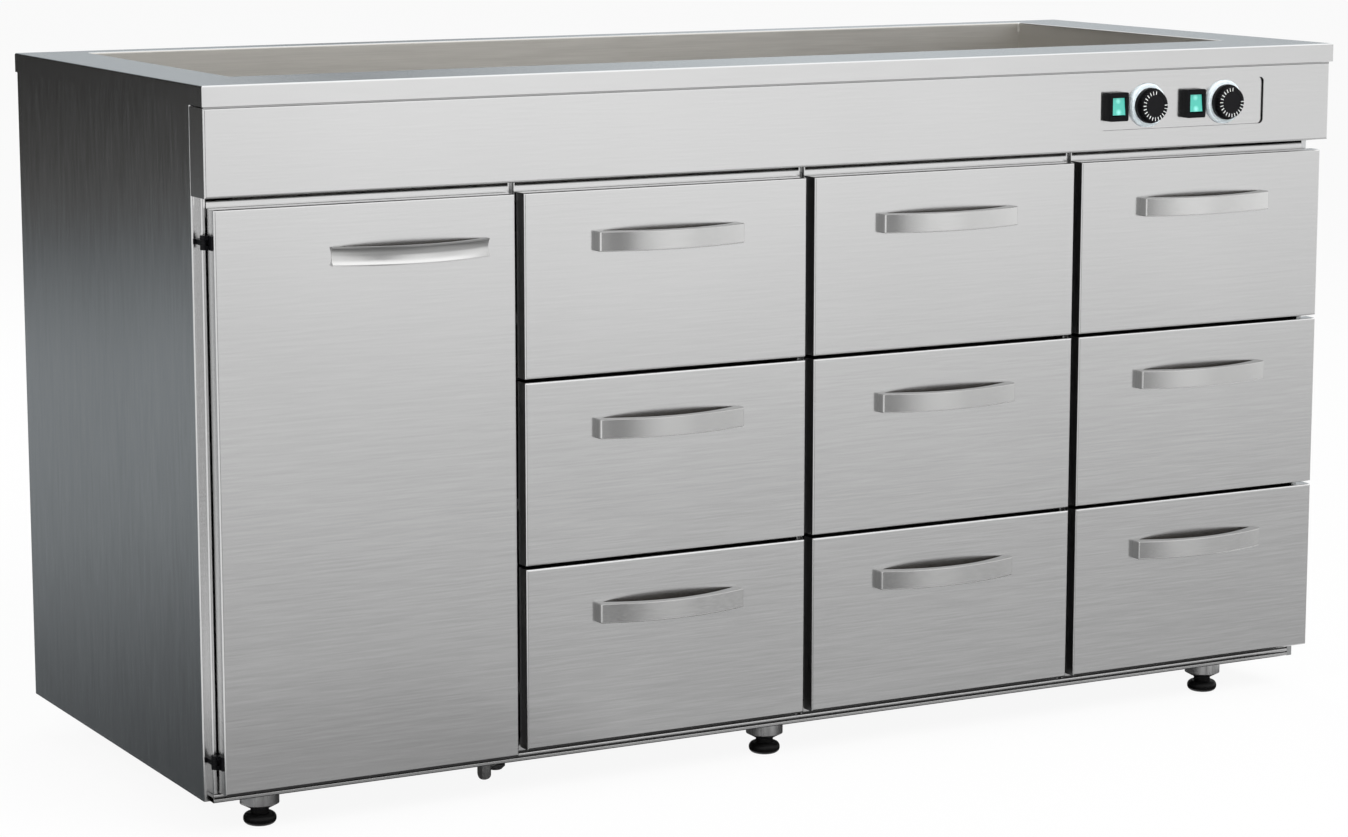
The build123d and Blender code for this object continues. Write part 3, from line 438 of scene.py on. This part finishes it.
def dress_cabinet_faces():
    give_faces("worktop", "band_steel", lambda face: abs(face.normal.z) < FACING)
    give_faces("worktop", "carcass_steel", lambda face: face.normal.x < -FACING)
    give_faces("worktop", "well_steel", lambda face: abs(face.normal.y) > FACING and in_well(face))
    # The well's end walls, in the worktop and the tank, are a little darker: painted shade
    give_faces("worktop", "well_end_steel", lambda face: abs(face.normal.x) > FACING and in_well(face))
    give_faces("left_end_panel", "front_steel", lambda face: face.normal.y < -FORWARD)
    give_faces("well_tank", "well_end_steel", lambda face: abs(face.normal.x) > FACING)
    # Painted shade: darker steel on the base panel's upper faces
    give_faces("base_panel", "return_steel", lambda face: face.normal.z > LEANING)
    # Painted shade: near-black steel on the partitions' front faces
    give_faces("partitions", "frame_steel", lambda face: face.normal.y < -FORWARD)


def dress_front_faces():
    """Painted shade on the side returns of the drawers' fronts and on the handles' backs, upper edges
    and ends, and painted light on the drawer handles' lower edges.
    """
    for node in nodes:
        if node.endswith("_front"):
            give_faces(node, "return_steel", lambda face: abs(face.normal.x) > SQUARE)
        if node.endswith("_handle"):
            give_faces(node, "handle_back_steel", lambda face: face.normal.y > LEANING)
        if node.endswith("_handle") and node.startswith("drawer"):
            give_faces(node, "handle_top_steel", lambda face: face.normal.z > LEANING)
            give_faces(node, "handle_foot_steel", lambda face: face.normal.z < -UNDERCUT)
            give_faces(node, "handle_end_steel", lambda face: abs(face.normal.x) > END_ON)


# Small pieces that the solids leave out

def new_piece(name, draw, finish, body):
    shape = bmesh.new()
    draw(shape)
    mesh = bpy.data.meshes.new(name)
    shape.to_mesh(mesh)
    shape.free()
    mesh.materials.append(finishes[finish])
    piece = bpy.data.objects.new(name, mesh)
    bpy.context.scene.collection.objects.link(piece)
    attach(piece, body)


def steel_strip(name, low, high, finish):
    """A strip on the cabinet between two corners, with eased edges."""
    def draw(shape):
        place = Matrix.Translation((low + high) / 2) @ Matrix.Diagonal((*(high - low), 1))
        bmesh.ops.create_cube(shape, size=1, matrix=place)
        bmesh.ops.bevel(shape, geom=shape.edges[:], offset=STRIP_EASING, segments=2, affect="EDGES")

    new_piece(name, draw, finish, "cabinet")


def fascia_seam():
    """The closed joint between the worktop's band and the fascia below it, a strip of darker steel as
    painted shade.
    """
    low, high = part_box("control_fascia")
    top = high.z + SEAM_RISE
    first = Vector((low.x + SEAM_SETBACK, low.y + SEAM_SETBACK, top - SEAM_HEIGHT))
    last = Vector((high.x - SEAM_SETBACK, first.y + STRIP_THICKNESS, top))
    steel_strip("fascia_seam", first, last, "seam_steel")


def base_end_cap():
    """The plate that closes the folded base edge beside the end panel."""
    base_low, base_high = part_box("base_panel")
    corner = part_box("front_rails")[0]
    first = Vector((corner.x, corner.y + STRIP_EASING, base_low.z))
    last = Vector((corner.x + STRIP_THICKNESS, corner.y + BASE_EDGE_DEPTH, base_high.z))
    steel_strip("base_end_cap", first, last, "front_steel")


def tick_scale(side):
    """Printed ticks round a knob's face, with the gap at its upper right."""
    low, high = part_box(f"knob_{side}")
    middle = (low + high) / 2
    face = Vector((middle.x, low.y, middle.z))

    def draw(shape):
        for index in range(TICKS):
            angle = TICK_START + TICK_SWEEP * index / (TICKS - 1)
            reach = (TICK_INNER + TICK_OUTER) / 2
            place = (
                Matrix.Translation(face)
                @ Matrix.Rotation(-angle, 4, "Y")
                @ Matrix.Translation((reach, 0, 0))
                @ Matrix.Diagonal((TICK_OUTER - TICK_INNER, TICK_RAISED * 2, TICK_WIDTH, 1))
            )
            bmesh.ops.create_cube(shape, size=1, matrix=place)

    new_piece(f"knob_{side}_ticks", draw, "tick_paint", f"knob_{side}")


# Stage: floor, light, cards that the steel reflects, camera

def emission_material(name):
    """A material that glows white until another colour is linked to it."""
    material = bpy.data.materials.new(name)
    material.use_nodes = True
    tree = material.node_tree
    tree.nodes.clear()
    glow = add_node(tree, "Emission", {"Color": WHITE, "Strength": 1.0})
    output = add_node(tree, "OutputMaterial", links={"Surface": glow.outputs[0]})
    return material, tree, glow, output


def seen_directly(tree):
    """1 for rays from the camera, a mirror or a lens, else 0."""
    path = add_node(tree, "LightPath")
    mirrored = larger(tree, path.outputs["Is Glossy Ray"], path.outputs["Is Transmission Ray"])
    return larger(tree, path.outputs["Is Camera Ray"], mirrored)


def plain_floor():
    """A pale floor, near white where it is looked at, which keeps a soft shadow.

    Reflections skip it and show the cards above and below it.
    """
    bpy.ops.mesh.primitive_plane_add(size=2 * FLOOR_HALF)
    floor = bpy.context.object
    floor.name = "floor"
    material, tree, glow, output = emission_material("floor")
    plain = add_node(tree, "BsdfDiffuse", {"Color": FLOOR_COLOUR})
    share = add_node(tree, "Math", {1: FLOOR_GLOW}, {0: seen_directly(tree)}, operation="MULTIPLY")
    parts = {0: share.outputs[0], 1: plain.outputs[0], 2: glow.outputs[0]}
    mix = add_node(tree, "MixShader", links=parts)
    tree.links.new(mix.outputs[0], output.inputs["Surface"])
    floor.data.materials.append(material)
    floor.visible_glossy = False


def white_world():
    """A world that looks white and lights the object at a plain level."""
    world = bpy.data.worlds.new("studio")
    bpy.context.scene.world = world
    world.use_nodes = True
    tree = world.node_tree
    background = tree.nodes["Background"]
    background.inputs["Color"].default_value = WHITE
    strength = remap(tree, seen_directly(tree), AMBIENT, 1.0, 0.0, 1.0)
    tree.links.new(strength, background.inputs["Strength"])


def soft_lamp(name, place, size, power):
    light = bpy.data.lights.new(name, "AREA")
    light.shape = "RECTANGLE"
    light.size, light.size_y = size
    light.energy = power
    lamp = bpy.data.objects.new(name, light)
    bpy.context.scene.collection.objects.link(lamp)
    lamp.location = place
    aim = Vector(LAMP_TARGET) - Vector(place)
    lamp.rotation_euler = aim.to_track_quat("-Z", "Y").to_euler()
    lamp.visible_glossy = False


def add_card(name, corners, material):
    """A card that only reflections see."""
    mesh = bpy.data.meshes.new(name)
    mesh.from_pydata(corners, [], [range(len(corners))])
    mesh.materials.append(material)
    card = bpy.data.objects.new(name, mesh)
    bpy.context.scene.collection.objects.link(card)
    card.visible_camera = False
    card.visible_diffuse = False
    card.visible_shadow = False
    card.visible_transmission = False


def brightness(tree, value, stops, tint):
    """A colour that runs through (value, brightness) stops."""
    first, last = ends(stops)
    ramp = add_node(tree, "ValToRGB", links={"Fac": remap(tree, value, 0, 1, first, last)})
    elements = ramp.color_ramp.elements
    for stop, _ in stops[1:-1]:
        elements.new((stop - first) / (last - first))
    for element, (_, level) in zip(elements, stops):
        element.color = (*(channel * level for channel in tint), 1)
    return ramp.outputs["Color"]


def graded_card(name, corners, axis, stops, tint=NEUTRAL, across=None):
    """A card whose brightness follows stops along an axis, times a weight along X where given."""
    material, tree, glow, _ = emission_material(name)
    split = add_node(tree, "SeparateXYZ", links={"Vector": object_place(tree)})
    colour = brightness(tree, split.outputs[axis], stops, tint)
    if across:
        weight = brightness(tree, split.outputs["X"], across, NEUTRAL)
        weighted = add_node(tree, "VectorMath", links={0: colour, 1: weight}, operation="MULTIPLY")
        colour = weighted.outputs[0]
    tree.links.new(colour, glow.inputs["Color"])
    add_card(name, corners, material)


def plain_card(name, corners, level, tint=NEUTRAL):
    """A card with one brightness all over: a graded card whose stops are alike."""
    graded_card(name, corners, "Y", [(0, level), (1, level)], tint)


def ends(stops):
    """Where the first and the last stop lie."""
    return stops[0][0], stops[-1][0]


def level_card(x, y, z=CARD_LIFT):
    """Corners of a level card between two places along X and two along Y."""
    return [(x[0], y[0], z), (x[1], y[0], z), (x[1], y[1], z), (x[0], y[1], z)]


def upright_card(first, second, height):
    """Corners of a wall between two floor points, up or down from the floor's height."""
    return [(*first, 0), (*second, 0), (*second, height), (*first, height)]


def upright_cards(points, height):
    """Corners of each wall along a line of floor points."""
    return [upright_card(first, second, height) for first, second in zip(points, points[1:])]


def cross_wall(x, y, height):
    """Corners of a wall along X at one place along Y."""
    return upright_card((x[0], y), (x[1], y), height)


def front_cards():
    far_front, far_turn, far_right = upright_cards(FAR_CORNERS, FAR_DEPTH)
    graded_card("far_front", far_front, "Z", FAR_HEIGHTS, across=FAR_ACROSS)
    graded_card("far_turn", far_turn, "Z", FAR_HEIGHTS)
    graded_card("far_right", far_right, "Z", FAR_HEIGHTS)
    deep_floor = level_card(DEEP_FLOOR_ACROSS, ends(DEEP_FLOOR), FAR_DEPTH)
    graded_card("deep_floor", deep_floor, "Y", DEEP_FLOOR)
    front_wall = cross_wall(ends(FRONT_WALL), FRONT_WALL_PLACE, WALL_HEIGHT)
    graded_card("front_wall", front_wall, "X", FRONT_WALL)
    plain_card("dark_screen", upright_card(*DARK_SCREEN, SCREEN_HEIGHT), DARK_SCREEN_LEVEL)


def left_cards():
    left_floor = level_card(LEFT_FLOOR_ACROSS, ends(LEFT_FLOOR))
    graded_card("left_floor", left_floor, "Y", LEFT_FLOOR, COOL)
    far_floor = level_card(LEFT_FLOOR_ACROSS, ends(FAR_FLOOR))
    graded_card("far_floor", far_floor, "Y", FAR_FLOOR, WARM)
    far_left_wall, left_wall = upright_cards(LEFT_CORNERS, WALL_HEIGHT)
    plain_card("far_left_wall", far_left_wall, LEFT_WALL_LEVEL, WARM)
    plain_card("left_wall", left_wall, LEFT_WALL_LEVEL, WARM)


def top_and_floor_cards():
    back_wall = cross_wall(ends(BACK_WALL), BACK_WALL_PLACE, SCREEN_HEIGHT)
    graded_card("back_wall", back_wall, "X", BACK_WALL, COOL)
    plain_card("overhead", level_card(*OVERHEAD, OVERHEAD_HEIGHT), OVERHEAD_LEVEL)
    for count, (name, (corners, level)) in enumerate(PATCHES.items(), 1):
        plain_card(name, [(x, y, count * CARD_LIFT) for x, y in corners], level)


def studio():
    plain_floor()
    white_world()
    for name, (place, size, power) in LAMPS.items():
        soft_lamp(name, place, size, power)
    front_cards()
    left_cards()
    top_and_floor_cards()


def photo_camera():
    data = bpy.data.cameras.new("camera")
    data.sensor_width = SENSOR_WIDTH
    data.lens = FOCAL_PIXELS / PHOTO_WIDTH * SENSOR_WIDTH
    camera = bpy.data.objects.new("camera", data)
    bpy.context.scene.collection.objects.link(camera)
    camera.location = CAMERA_PLACE
    camera.rotation_euler = (math.pi / 2 - CAMERA_ELEVATION, 0, -CAMERA_AZIMUTH)
    bpy.context.scene.camera = camera


dress_nodes()
dress_cabinet_faces()
dress_front_faces()
for knob_side in SIDES:
    tick_scale(knob_side)
fascia_seam()
base_end_cap()
studio()
photo_camera()
bpy.context.scene.view_settings.view_transform = "Standard"
